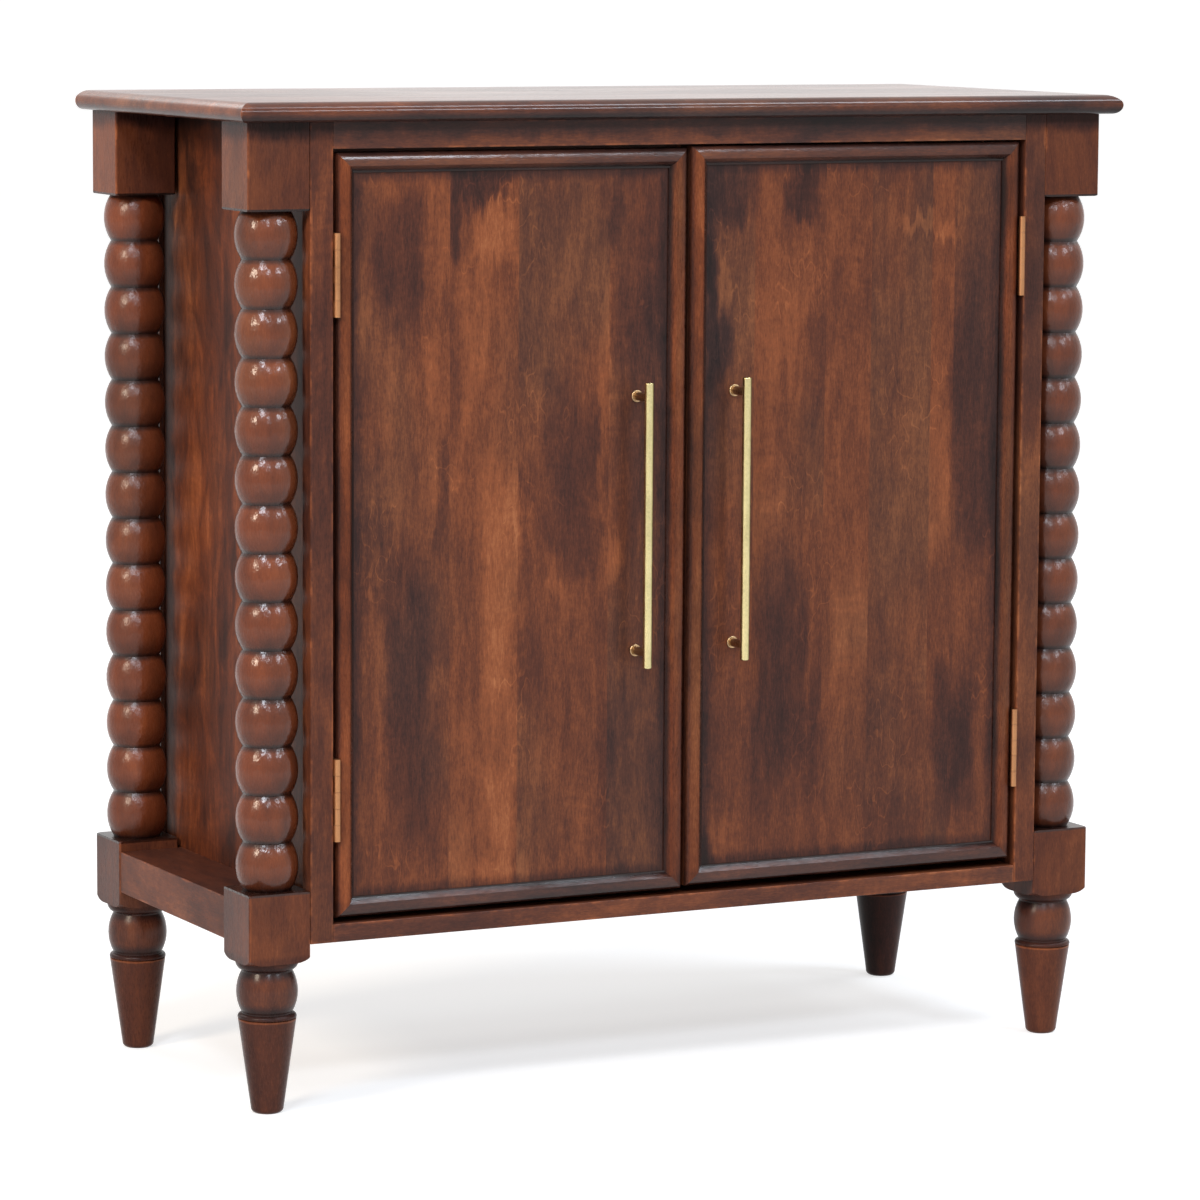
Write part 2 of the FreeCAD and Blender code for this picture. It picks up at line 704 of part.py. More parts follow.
def make_leaf(side, level, leaf, screws):
    """One leaf of a butt hinge: a plate in the gap and every second knuckle.

    A root carries each knuckle. The frame leaf's roots also turn across the gap to the pin.
    """
    label = f"{side}_{level}_hinge_{leaf}_leaf"
    low = hinge_base(side, level)
    inset = OPENING_INSET if leaf == "frame" else f"({DOOR_EDGE_INSET} - leaf_thickness)"
    x = across(side, inset, "leaf_thickness")
    pieces = [box(f"{label}_plate", x, f"{PIN_Y} + {KNUCKLE_REACH}", low,
                  "leaf_thickness", "leaf_width", "hinge_length")]
    first = 0 if leaf == "frame" else 1
    bridge = f"({PIN_INSET} - {OPENING_INSET})"
    for knuckle in range(first, int(number("knuckle_count")), 2):
        z = f"{low} + {knuckle} * ({KNUCKLE_LENGTH} + knuckle_gap)"
        pieces.append(cylinder(f"{label}_knuckle_{knuckle}", pin_x(side), PIN_Y, z,
                               "knuckle_diameter", KNUCKLE_LENGTH))
        pieces.append(box(f"{label}_root_{knuckle}", x, PIN_Y, z,
                          "leaf_thickness", KNUCKLE_REACH, KNUCKLE_LENGTH))
        if leaf == "frame":
            pieces.append(box(f"{label}_turn_{knuckle}", across(side, OPENING_INSET, bridge), PIN_Y, z,
                              bridge, "leaf_thickness", KNUCKLE_LENGTH))
    solid = join(f"{label}_solid", pieces)
    bore = "pin_diameter" if leaf == "frame" else "(pin_diameter + 2 * pin_clearance)"
    hole = cylinder(f"{label}_bore", pin_x(side), PIN_Y, f"{low} - overrun",
                    bore, "hinge_length + 2 * overrun")
    bored = cut(f"{label}_bored", solid, hole)
    return node(cut(f"{label}_drilled", bored, screws), label)


def make_pins():
    """The four hinge pins, held by the frame leaves."""
    pins = []
    for side in ("left", "right"):
        for level in ("lower", "upper"):
            pins.append(cylinder(f"{side}_{level}_pin", pin_x(side), PIN_Y, hinge_base(side, level),
                                 "pin_diameter", "hinge_length"))
    node(join("hinge_pins_group", pins), "hinge_pins")


# Doors

def moulding(name, length):
    """A moulding with both ends mitred, its outer edge along the body's upright axis.

    The crown is an arc with its crest inside the middle. The shoulder is a smaller arc that
    touches the crown's arc and the outer edge.
    """
    drop = "(moulding_crown_radius - moulding_height + moulding_edge)"
    beside = "(moulding_crown_radius - moulding_crest)"
    shoulder = (f"((moulding_crown_radius ^ 2 - moulding_crest ^ 2 - {drop} ^ 2)"
                f" / (2 * {beside}))")
    meeting = f"({shoulder} / (moulding_crown_radius - {shoulder}))"
    profile = [
        ("0", "0"),
        ("0", "-moulding_edge", shoulder, 1),
        (f"{beside} * {meeting}", f"-(moulding_edge + {drop} * {meeting})", "moulding_crown_radius", 1),
        ("moulding_crest", "-moulding_height"),
        ("moulding_width - moulding_quirk", "-moulding_quirk"),
        ("moulding_width", "-moulding_quirk"),
        ("moulding_width", "0"),
    ]
    body = doc.addObject("PartDesign::Body", name)
    extruded(body, f"{name}_pad", "XY_Plane", profile, length)
    beyond = "moulding_width + overrun"
    lower = [("0", "0"), (beyond, "-overrun"), (beyond, beyond)]
    upper = [("0", length), (beyond, f"{length} - moulding_width - overrun"), (beyond, f"{length} + overrun")]
    pocketed(body, f"{name}_mitres", "XZ_Plane", [lower, upper], "moulding_height + overrun", True)
    return body


def make_mouldings(side):
    """The four mouldings round the front of a door."""
    low_x = across(side, DOOR_EDGE_INSET, DOOR_WIDTH)
    high_x = f"{low_x} + {DOOR_WIDTH}"
    low_z = door_base(side)
    high_z = f"{low_z} + {DOOR_HEIGHT}"
    runs = {
        "left": (DOOR_HEIGHT, 0, low_x, low_z),
        "right": (DOOR_HEIGHT, 180, high_x, high_z),
        "bottom": (DOOR_WIDTH, -90, high_x, low_z),
        "top": (DOOR_WIDTH, 90, low_x, high_z),
    }
    for edge, (length, angle, x, z) in runs.items():
        label = f"{side}_door_{edge}_moulding"
        rotation = FreeCAD.Rotation(FreeCAD.Vector(0, 1, 0), angle)
        node(place(moulding(label, length), x, DOOR_FRONT, z, rotation), label)


def handle_x(side):
    """X of a handle, set in from the meeting edge of its door."""
    offset = "(centre_gap / 2 + handle_backset)"
    return f"-{offset}" if side == "left" else offset


def make_handle(side, screws):
    """A round bar on two flanged stems."""
    x = handle_x(side)
    bar_y = f"{DOOR_FRONT} - handle_projection"
    middle = f"({door_base(side)} + {DOOR_HEIGHT} / 2)"
    label = f"{side}_handle_bar"
    bar = doc.addObject("PartDesign::Body", label)
    turned(bar, f"{label}_turning", [
        ("0", "0"),
        ("bar_diameter / 2 - bar_end_round", "0", "bar_end_round", 1),
        ("bar_diameter / 2", "bar_end_round"),
        ("bar_diameter / 2", "bar_length - bar_end_round", "bar_end_round", 1),
        ("bar_diameter / 2 - bar_end_round", "bar_length"),
        ("0", "bar_length"),
    ])
    node(place(bar, x, bar_y, f"{middle} - bar_length / 2"), label)
    stems = []
    for step, z in enumerate((f"{middle} - handle_spacing / 2", f"{middle} + handle_spacing / 2")):
        name = f"{side}_stem_{step}"
        stem = doc.addObject("PartDesign::Body", name)
        turned(stem, f"{name}_turning", [
            ("0", "0"),
            ("flange_diameter / 2", "0"),
            ("flange_diameter / 2", "flange_thickness - flange_round", "flange_round", 1),
            ("flange_diameter / 2 - flange_round", "flange_thickness"),
            ("stem_diameter / 2", "flange_thickness"),
            ("stem_diameter / 2", "handle_projection"),
            ("0", "handle_projection"),
        ])
        place(stem, x, DOOR_FRONT, z, TURNS["-y"])
        stems.append(cut(f"{name}_saddle", stem, bar))
    pair = join(f"{side}_stems_pair", stems)
    node(cut(f"{side}_stems_tapped", pair, screws), f"{side}_handle_stems")


def handle_screws(side):
    """Screws driven through the door from its back into the stems."""
    middle = f"({door_base(side)} + {DOOR_HEIGHT} / 2)"
    screws = []
    for step, z in enumerate((f"{middle} - handle_spacing / 2", f"{middle} + handle_spacing / 2")):
        screws.append(screw(f"{side}_handle_screw_{step}", handle_x(side), DOOR_BACK, z, "-y",
                            "handle_screw", "door_thickness + handle_screw_reach"))
    return node(join(f"{side}_handle_screws_group", screws), f"{side}_handle_screws")


def make_door(side):
    """A slab with mouldings, a handle, a strike plate and the door leaves of its hinges."""
    hinge_screws = node(leaf_screws(side, "door"), f"{side}_door_hinge_screws")
    for level in ("lower", "upper"):
        make_leaf(side, level, "door", hinge_screws)
    pull_screws = handle_screws(side)
    make_handle(side, pull_screws)
    strike = make_strike(side)
    make_mouldings(side)
    slab = box(f"{side}_door_slab", across(side, DOOR_EDGE_INSET, DOOR_WIDTH), DOOR_FRONT, door_base(side),
               DOOR_WIDTH, "door_thickness", DOOR_HEIGHT)
    fittings = join(f"{side}_door_fittings", [hinge_screws, pull_screws, strike])
    node(cut(f"{side}_door_drilled", slab, fittings), f"{side}_door_panel")


def make_carcase():
    cleat_group = cleat_screws()
    make_top_board(cleat_group)
    make_front_rails()
    make_back()
    make_boards()
    make_cleats(cleat_group)
    make_catches()
    make_pins()
    frame_screws = []
    for side in ("left", "right"):
        make_post(side, "front")
        make_post(side, "back")
        make_base_rail(side)
        make_side_panel(side, cleat_group)
        screws = leaf_screws(side, "frame")
        frame_screws.append(screws)
        make_stile(side, screws)
        for level in ("lower", "upper"):
            make_leaf(side, level, "frame", screws)
    node(join("frame_hinge_screws_group", frame_screws), "frame_hinge_screws")


make_carcase()
make_door("left")
make_door("right")
doc.recompute()

for item in doc.Objects:
    if "Invalid" in item.State or "Error" in item.State:
        raise RuntimeError(f"{item.Label} failed to rebuild: {item.State}")
for piece in nodes:
    if piece.Shape.isNull() or not piece.Shape.isValid():
        raise RuntimeError(f"{piece.Label} has no valid shape")

os.makedirs("parts", exist_ok=True)
for piece in nodes:
    piece.Shape.exportStep(f"parts/{piece.Label}.step")
    low = piece.Shape.BoundBox
    print(f"{piece.Label}: {len(piece.Shape.Solids)} solid(s), {piece.Shape.Volume / 1000:.1f} cm3, "
          f"{low.XLength:.1f} x {low.YLength:.1f} x {low.ZLength:.1f} mm")
print(len(nodes), "nodes")
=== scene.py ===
import itertools
import math

import bpy
from mathutils import Matrix, Vector

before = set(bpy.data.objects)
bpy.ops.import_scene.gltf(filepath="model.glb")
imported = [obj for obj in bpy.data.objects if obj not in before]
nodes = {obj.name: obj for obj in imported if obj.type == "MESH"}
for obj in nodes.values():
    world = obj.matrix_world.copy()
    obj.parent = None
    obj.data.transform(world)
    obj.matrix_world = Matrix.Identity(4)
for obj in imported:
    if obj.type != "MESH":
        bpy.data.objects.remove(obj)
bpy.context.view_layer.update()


def box_of(name):
    """The low and high corners of a CAD node."""
    piece = nodes[name]
    corners = [piece.matrix_world @ Vector(corner) for corner in piece.bound_box]
    return [[pick(corner[axis] for corner in corners) for axis in range(3)] for pick in (min, max)]


# Places that the materials follow, in metres, in the part's own frame

TOP_BOX = box_of("top_board")
TOP_UNDERSIDE = TOP_BOX[0][2]
TOP_MIDDLE = (TOP_BOX[0][2] + TOP_BOX[1][2]) / 2

# Heights on a post
FOOT_RIM = 0.0866
BALL_BASE = 0.0925
LOWER_NECK = 0.0940
BALL_TOP = 0.1325
LOWER_BLOCK_BASE = 0.150
LOWER_BLOCK_TOP = 0.2055
UPPER_BLOCK_BASE = 0.8175
BOBBIN_COUNT = 14
BOBBIN_PITCH = (UPPER_BLOCK_BASE - LOWER_BLOCK_TOP) / BOBBIN_COUNT

# The width of a door's moulding, and how far its crest is from the door's side
MOULDING_BOX = box_of("left_door_left_moulding")
MOULDING_WIDTH = MOULDING_BOX[1][0] - MOULDING_BOX[0][0]
MOULDING_CREST = 0.0085


# Node graphs

class Graph:
    """A short way to write node graphs: each call adds a node and gives its output."""

    def __init__(self, tree):
        self.tree = tree

    def node(self, kind, inputs=(), output=0, **settings):
        made = self.tree.nodes.new(kind)
        for name, value in settings.items():
            setattr(made, name, value)
        for key, value in dict(inputs).items():
            self.feed(made.inputs[key], value)
        return made.outputs[output]

    def feed(self, socket, value):
        if isinstance(value, bpy.types.NodeSocket):
            self.tree.links.new(value, socket)
        else:
            socket.default_value = value

    def math(self, operation, a, b=0.0, c=0.0):
        return self.node("ShaderNodeMath", {0: a, 1: b, 2: c}, operation=operation)

    def added(self, *values):
        """The sum of the values."""
        result = values[0]
        for value in values[1:]:
            result = self.math("ADD", result, value)
        return result

    def total(self, *terms):
        """The sum of value times weight over the terms."""
        result = 0.0
        for value, weight in terms:
            result = self.math("MULTIPLY_ADD", value, weight, result)
        return result

    def vector(self, operation, a, b=(0, 0, 0)):
        return self.node("ShaderNodeVectorMath", {0: a, 1: b}, operation=operation)

    def length(self, vector):
        return self.node("ShaderNodeVectorMath", {0: vector}, output=1, operation="LENGTH")

    def scaled(self, point, scale, shift=(0, 0, 0)):
        return self.node("ShaderNodeMapping", {"Vector": point, "Scale": scale, "Location": shift})

    def noise(self, point, scale, detail=2.0, roughness=0.5, distortion=0.0, colour=False):
        """Noise about nought, with the cells per metre given for each axis."""
        raw = self.node(
            "ShaderNodeTexNoise",
            {"Vector": self.scaled(point, scale), "Scale": 1.0, "Detail": detail, "Roughness": roughness,
             "Distortion": distortion},
            output=1 if colour else 0,
        )
        if colour:
            return self.vector("SUBTRACT", raw, (0.5, 0.5, 0.5))
        return self.math("SUBTRACT", raw, 0.5)

    def step(self, value, start, end, to=1.0, base=0.0):
        """A level that changes smoothly from base, where the value is at start, to another at end."""
        return self.node(
            "ShaderNodeMapRange",
            {"Value": value, "From Min": start, "From Max": end, "To Min": base, "To Max": to},
            interpolation_type="SMOOTHSTEP",
        )

    def near(self, value, place, close, reach, to=1.0):
        """The level that is given where the value is close to a place, fading to 0 at the reach."""
        apart = self.math("ABSOLUTE", self.math("SUBTRACT", value, place))
        return self.step(apart, reach, close, to=to)

    def between(self, value, low, high):
        """1 where the value is between low and high, else 0."""
        above = self.math("GREATER_THAN", value, low)
        return self.math("MULTIPLY", above, self.math("LESS_THAN", value, high))

    def split(self, point):
        """The x, y and z of a point."""
        made = self.tree.nodes.new("ShaderNodeSeparateXYZ")
        self.tree.links.new(point, made.inputs[0])
        return made.outputs

    def joined(self, x, y, z):
        return self.node("ShaderNodeCombineXYZ", {0: x, 1: y, 2: z})

    def normal(self):
        """The x, y and z of the surface's normal in the part's own frame."""
        return self.split(self.node("ShaderNodeTexCoord", output=1))

    def mixed(self, share, first, second, **settings):
        """Two colours mixed, by default as first plus the share of the way to the second."""
        inputs = {0: share, 6: first, 7: second}
        return self.node("ShaderNodeMix", inputs, output=2, data_type="RGBA", **settings)

    def ramp(self, value, stops):
        made = self.tree.nodes.new("ShaderNodeValToRGB")
        self.tree.links.new(value, made.inputs[0])
        elements = made.color_ramp.elements
        while len(elements) < len(stops):
            elements.new(0.5)
        for element, (place, colour) in zip(elements, stops):
            element.position = place
            element.color = (*colour, 1.0)
        return made.outputs[0]

    def bump(self, height, strength, distance):
        return self.node("ShaderNodeBump", {"Strength": strength, "Distance": distance, "Height": height})

    def seen_directly(self):
        """1 for rays from the camera and for those that metal and glass send on, else 0."""
        paths = self.tree.nodes.new("ShaderNodeLightPath").outputs
        mirrored = self.math("MAXIMUM", paths["Is Glossy Ray"], paths["Is Transmission Ray"])
        return self.math("MAXIMUM", paths["Is Camera Ray"], mirrored)


def new_material(name):
    """A material with its graph, its shader and the point that is shaded, in the part's own frame."""
    made = bpy.data.materials.new(name)
    made.use_nodes = True
    made.node_tree.nodes.clear()
    graph = Graph(made.node_tree)
    shader = made.node_tree.nodes.new("ShaderNodeBsdfPrincipled")
    output = made.node_tree.nodes.new("ShaderNodeOutputMaterial")
    made.node_tree.links.new(shader.outputs[0], output.inputs["Surface"])
    point = graph.node("ShaderNodeTexCoord", output=3)
    return made, graph, shader, point


# Changes of wood by place

# In these functions g is the graph, and axes are the x, y and z of the point in the part's own frame

def side_gaps(g, axes, box, used):
    """How far a point is from the nearer side of a box, along each of the axes used."""
    gaps = []
    for axis in used:
        middle = (box[0][axis] + box[1][axis]) / 2
        half = (box[1][axis] - box[0][axis]) / 2
        gaps.append(g.math("SUBTRACT", half, g.math("ABSOLUTE", g.math("SUBTRACT", axes[axis], middle))))
    return gaps


def edge_distance(g, axes, box, used):
    """How far a point of a block's face is from the nearest edge of the block."""
    gaps = side_gaps(g, axes, box, used)
    nearer = g.math("MINIMUM", gaps[0], gaps[1])
    farther = g.math("MAXIMUM", gaps[0], gaps[1])
    if len(gaps) == 2:
        return farther
    return g.math("MAXIMUM", nearer, g.math("MINIMUM", farther, gaps[2]))


def door_side_distance(g, axes, box):
    """How far a point of a door's face is from the door's nearest side."""
    across, up = side_gaps(g, axes, box, (0, 2))
    return g.math("MINIMUM", across, up)


def worn_edges(g, axes, box, used):
    """Stain rubbed off in places along the edges of a piece."""
    rubbed = g.step(g.noise(g.joined(*axes), (60, 60, 60), detail=3, roughness=0.65), -0.06, 0.14)
    near_edge = g.step(edge_distance(g, axes, box, used), 0.0028, 0.0006)
    return g.math("MULTIPLY", g.math("MULTIPLY", near_edge, rubbed), 0.24)


def painted_shadow_under_top(g, axes):
    """A painted shadow in the corner below the top board, with a ragged lower edge."""
    ragged = g.noise(g.joined(*axes), (38, 38, 20), detail=4, roughness=0.65)
    height = g.math("MULTIPLY_ADD", ragged, 0.024, axes[2])
    return g.step(height, TOP_UNDERSIDE - 0.020, TOP_UNDERSIDE - 0.004, to=-0.34)


def nose_painted_light_and_shade(g, axes):
    """The top board's nose: painted shade underneath and in front, darker towards the right, and painted
    light at the left end.
    """
    left_end, front_edge = TOP_BOX[0][0], TOP_BOX[0][1]
    below = g.step(axes[2], TOP_MIDDLE, TOP_UNDERSIDE + 0.0025, to=-0.32)
    front = g.step(axes[1], front_edge + 0.014, front_edge + 0.008, to=-0.09)
    left = g.step(axes[0], left_end + 0.014, left_end + 0.008, to=0.11)
    right = g.math("MULTIPLY", front, g.step(axes[0], 0.15, 0.42, to=1.5))
    return g.added(below, front, left, right)


def dull_end(g, axes):
    """A roughness change: the lacquer on the left end of the top is duller."""
    return g.step(axes[0], -0.12, -0.42, to=0.05)


def painted_shade_on_rail_top(g, axes):
    """Painted shade on the upper face of a base rail."""
    return g.step(g.normal()[2], 0.5, 0.9, to=-0.14)


def block_painted_light_and_shade(g, axes):
    """Painted shade on the front of a post's upper block and the left of its lower one, and painted light
    on the left of the upper one.
    """
    normal = g.normal()
    upper = g.step(axes[2], UPPER_BLOCK_BASE - 0.0055, UPPER_BLOCK_BASE - 0.0005)
    lower = g.step(axes[2], LOWER_BLOCK_TOP + 0.0035, LOWER_BLOCK_TOP - 0.0015)
    front = g.math("MULTIPLY", g.step(normal[1], -0.5, -0.9), g.math("MULTIPLY", upper, -0.06))
    left = g.math("MULTIPLY", g.step(normal[0], -0.5, -0.9), g.total((upper, 0.06), (lower, -0.11)))
    return g.added(front, left)


def bobbin_mask(g, axes):
    """1 on the turned bobbins of a post, else 0."""
    return g.between(axes[2], LOWER_BLOCK_TOP - 0.002, UPPER_BLOCK_BASE + 0.002)


def bobbin_stain_and_painted_shade(g, axes):
    """Dark stain and painted shade in the necks between the bobbins, and painted shade on the under half of
    each.
    """
    height = g.math("SUBTRACT", axes[2], LOWER_BLOCK_TOP)
    neck = g.step(g.math("PINGPONG", height, BOBBIN_PITCH / 2), 0.0050, 0.0004, to=-0.28)
    above_neck = g.math("MODULO", g.math("ADD", height, BOBBIN_PITCH), BOBBIN_PITCH)
    under = g.step(g.math("DIVIDE", above_neck, BOBBIN_PITCH), 0.50, 0.05, to=-0.13)
    return g.math("MULTIPLY", g.added(neck, under), bobbin_mask(g, axes))


def foot_stain_and_painted_shade(change):
    """Painted shade below a post's lower block, dark stain and painted shade in the necks above and below
    the ball, and a paler line at the rim.
    """
    def shade(g, axes):
        foot = g.step(axes[2], LOWER_BLOCK_BASE, LOWER_BLOCK_BASE - 0.007, to=change)
        lower_neck = g.near(axes[2], LOWER_NECK, 0.001, 0.010, to=-0.30)
        upper_neck = g.near(axes[2], BALL_TOP, 0.001, 0.010, to=-0.30)
        height = g.math("MULTIPLY_ADD", g.noise(g.joined(*axes), (70, 70, 40), detail=2), 0.002, axes[2])
        rim = g.near(height, FOOT_RIM, 0.0004, 0.0016, to=0.30)
        return g.added(foot, lower_neck, upper_neck, rim)
    return shade


def moulding_stain_and_painted_light(box):
    """Dark stain and painted shade along both sides of a door's moulding, a paler crest between them that
    is a painted highlight, and darker at the door's bottom.
    """
    bottom_edge = box[0][2]

    def shade(g, axes):
        inward = door_side_distance(g, axes, box)
        inside = g.step(inward, MOULDING_WIDTH - 0.0050, MOULDING_WIDTH - 0.0012, to=-0.38)
        outside = g.step(inward, 0.0045, 0.0012, to=-0.22)
        painted_crest_highlight = g.near(inward, MOULDING_CREST, 0.0, 0.0045, to=0.07)
        bottom = g.step(axes[2], bottom_edge + MOULDING_WIDTH, bottom_edge + 0.010, to=-0.12)
        return g.added(inside, outside, painted_crest_highlight, bottom)
    return shade


# How much stronger the rubbed places of a door are than its list says
RUBBED = 1.25


def door_stains(g, axes, box, stains):
    """The stained and rubbed places of a door's face, with edges that follow the grain."""
    left_side, top_side = box[0][0], box[1][2]
    width, height = box[1][0] - box[0][0], box[1][2] - box[0][2]
    point = g.joined(*axes)
    feather = g.total(
        (g.noise(point, (150, 150, 18), detail=3, roughness=0.6), 0.055),
        (g.noise(point, (34, 34, 14), detail=2), 0.045),
    )
    sway = g.noise(point, (24, 24, 13), detail=3, roughness=0.65)
    place = g.joined(g.math("MULTIPLY_ADD", sway, 0.035, axes[0]), 0.0, g.math("ADD", axes[2], feather))
    value = 0.0
    for across, down, half_width, half_height, change, *seam in stains:
        if change > 0:
            change *= RUBBED
        x, z = left_side + across * width, top_side - down * height
        wide, tall = half_width * width, half_height * height
        offset = g.scaled(place, (1 / wide, 0, 1 / tall), (-x / wide, 0, -z / tall))
        stain = g.step(g.length(g.vector("MULTIPLY", offset, offset)), 1.5, 0.05, to=change)
        if seam:
            past = g.math("GREATER_THAN", axes[0], left_side + seam[0] * width)
            stain = g.math("MULTIPLY", stain, past)
        value = g.math("ADD", value, stain)
    return value


def door_shade(box, seams, stains):
    """The look of a door's face: boards of unlike tone, stains, a dark rim along the mouldings that is
    partly grime and partly painted shade, and curls in the grain.
    """
    left_side, width = box[0][0], box[1][0] - box[0][0]

    def shade(g, axes):
        point = g.joined(*axes)
        boards = 0.0
        for share, change in seams:
            past = g.math("GREATER_THAN", axes[0], left_side + share * width)
            boards = g.math("MULTIPLY_ADD", past, change, boards)
        inward = g.math("SUBTRACT", door_side_distance(g, axes, box), MOULDING_WIDTH)
        ragged = g.math("MULTIPLY_ADD", g.noise(point, (90, 90, 40), detail=3), 0.010, inward)
        front = g.step(g.normal()[1], 0.0, -0.5)
        # The dark rim is partly grime and partly painted shade from the moulding
        rim = g.math("MULTIPLY", g.step(ragged, 0.012, 0.001, to=-0.22), front)
        curl = g.near(g.noise(point, (75, 75, 34), detail=1), 0.0, 0.006, 0.022)
        patch = g.step(g.noise(point, (16, 16, 9), detail=3, roughness=0.6), 0.05, 0.13, to=0.14)
        return g.added(boards, door_stains(g, axes, box, stains), rim, g.math("MULTIPLY", curl, patch))
    return shade


# Wood

# Tone 0 is the darkest stain and tone 1 the palest streak
WOOD_STOPS = [
    (0.00, (0.016, 0.008, 0.007)),
    (0.22, (0.045, 0.0165, 0.0125)),
    (0.40, (0.090, 0.0285, 0.0170)),
    (0.55, (0.150, 0.0450, 0.0210)),
    (0.75, (0.260, 0.0780, 0.0310)),
    (1.00, (0.420, 0.1480, 0.0600)),
]
# The bobbins and the side panels took more of a red stain, and the upright mouldings are given it as
# painted light
RED_STOPS = [
    (0.00, (0.010, 0.004, 0.003)),
    (0.22, (0.038, 0.011, 0.006)),
    (0.40, (0.095, 0.023, 0.009)),
    (0.55, (0.165, 0.039, 0.013)),
    (0.75, (0.300, 0.080, 0.026)),
    (1.00, (0.460, 0.160, 0.066)),
]
# What the stain is multiplied by where the finish has aged most
PATINA = (0.84, 1.07, 1.22, 1)

# The axes across, through and along the grain, for a grain along x, y or z
GRAIN_ORDER = {"x": (1, 2, 0), "y": (2, 0, 1), "z": (0, 1, 2)}
# How far apart in the plank two pieces are cut, across, through and along it
CUT_SHIFT = (3.17, 1.93, 5.71)
# How far the grain jumps at a seam, across and along it
SEAM_JUMP = (0.731, 1.37)


def plank_point(g, axes, grain, seed, seams):
    """The point of the plank that a point of the piece was cut from, with the grain along z."""
    across, through, along = (axes[axis] for axis in GRAIN_ORDER[grain])
    for seam in seams:
        past = g.math("GREATER_THAN", axes[0], seam)
        across = g.math("MULTIPLY_ADD", past, SEAM_JUMP[0], across)
        along = g.math("MULTIPLY_ADD", past, SEAM_JUMP[1], along)
    return g.joined(*(g.math("ADD", place, seed * shift)
                      for place, shift in zip((across, through, along), CUT_SHIFT)))


def grain_layers(g, plank):
    """The noises that make up the grain, from broad blotches down to pores."""
    drift = g.noise(plank, (7, 7, 3), detail=3, colour=True)
    bent = g.vector("ADD", plank, g.vector("MULTIPLY", drift, (0.035, 0.035, 0.10)))
    cloud = g.noise(bent, (34, 34, 13), detail=4, roughness=0.62, distortion=0.8)
    return {
        "blotch": g.noise(bent, (9, 9, 3.2), detail=4, roughness=0.62, distortion=0.9),
        "cloud": cloud,
        "flame": g.noise(bent, (90, 90, 16), detail=3, roughness=0.6, distortion=0.6),
        "streak": g.noise(bent, (170, 170, 9), detail=2, roughness=0.55),
        "bars": g.math("MULTIPLY", g.noise(bent, (22, 22, 170), detail=2), g.step(cloud, -0.02, 0.1)),
        "speck": g.noise(plank, (420, 420, 300), detail=3, roughness=0.7),
        "fleck": g.noise(plank, (850, 850, 130), detail=2, roughness=0.7),
        "pore": g.step(g.noise(plank, (1300, 1300, 170), detail=1), 0.15, 0.24),
    }


def stained(g, value, red, plank):
    """The colour of a tone, with the share of the red stain, and aged in patches."""
    colour = g.mixed(red, g.ramp(value, WOOD_STOPS), g.ramp(value, RED_STOPS))
    aged = g.step(g.noise(plank, (4.5, 4.5, 2.2), detail=3, roughness=0.6), -0.04, 0.16, to=0.75)
    return g.mixed(aged, colour, PATINA, blend_type="MULTIPLY")


def lacquer_relief(g, point, layers, turned):
    """The height of the lacquer's surface, with dimples where the piece is turned."""
    waves = g.noise(point, (55, 55, 55), detail=3)
    relief = g.total((waves, 0.7), (layers["fleck"], 0.10), (layers["pore"], -0.08), (layers["flame"], 0.2))
    if turned is None:
        return relief
    dimples = g.noise(point, (190, 190, 150), detail=2, roughness=0.55)
    return g.math("MULTIPLY_ADD", g.math("MULTIPLY", dimples, turned), 2.0, relief)


def wood(name, grain, seed, tone, gloss, index, contrast=1.0, figure=1.0, cloudy=0.42, ripple=0.2, red=0.0,
         coat=None, seams=(), shades=(), wear=None, dull=None):
    """Stained and lacquered wood with its grain along one axis.

    gloss is the roughness and index the lacquer's index of refraction. contrast scales the whole grain,
    figure its blotches and cloudy its clouds, and ripple is the strength of the bars across it. red is
    the share of the red stain. coat is for a post: it gives the bobbins the red stain, less grain and a
    second coat of lacquer, of that roughness. seams are the x at which the grain jumps to that of another
    board. Each of the shades gives a tone change from the place, and dull a roughness change. wear is the
    piece's box and the axes across its edges.
    """
    made, g, shader, point = new_material(name)
    axes = g.split(point)
    plank = plank_point(g, axes, grain, seed, seams)
    layers = grain_layers(g, plank)
    turned = bobbin_mask(g, axes) if coat else None

    fine = g.total(
        (layers["fleck"], 0.36 * contrast),
        (layers["speck"], 0.20 * contrast),
        (layers["streak"], 0.16 * contrast),
        (layers["flame"], 0.26 * contrast),
    )
    if coat:
        fine = g.math("MULTIPLY", fine, g.math("MULTIPLY_ADD", turned, -0.6, 1.0))
        red = g.math("MAXIMUM", turned, red)
    value = g.total(
        (layers["blotch"], 0.85 * contrast * figure),
        (layers["cloud"], cloudy * contrast),
        (fine, 1.0),
        (layers["bars"], ripple),
        (layers["pore"], -0.06),
        (1.0, 0.5 + tone),
    )
    value = g.added(value, *(shade(g, axes) for shade in shades))
    if wear:
        value = g.added(value, worn_edges(g, axes, *wear))
    g.feed(shader.inputs["Base Color"], stained(g, value, red, plank))

    rough = g.total((layers["blotch"], -0.12), (layers["cloud"], -0.06), (layers["fleck"], 0.10),
                    (layers["pore"], 0.10), (1.0, gloss))
    if dull:
        rough = g.added(rough, dull(g, axes))
    g.feed(shader.inputs["Roughness"], g.math("MAXIMUM", rough, 0.07))

    bump = g.bump(lacquer_relief(g, point, layers, turned), 0.35, 0.0007)
    g.feed(shader.inputs["Normal"], bump)
    shader.inputs["IOR"].default_value = index
    if coat:
        ball = g.between(axes[2], BALL_BASE, BALL_TOP)
        g.feed(shader.inputs["Coat Weight"], g.total((turned, 0.45), (ball, 0.15)))
        shader.inputs["Coat Roughness"].default_value = coat
        g.feed(shader.inputs["Coat Normal"], bump)
    return made


# Metal and plastic

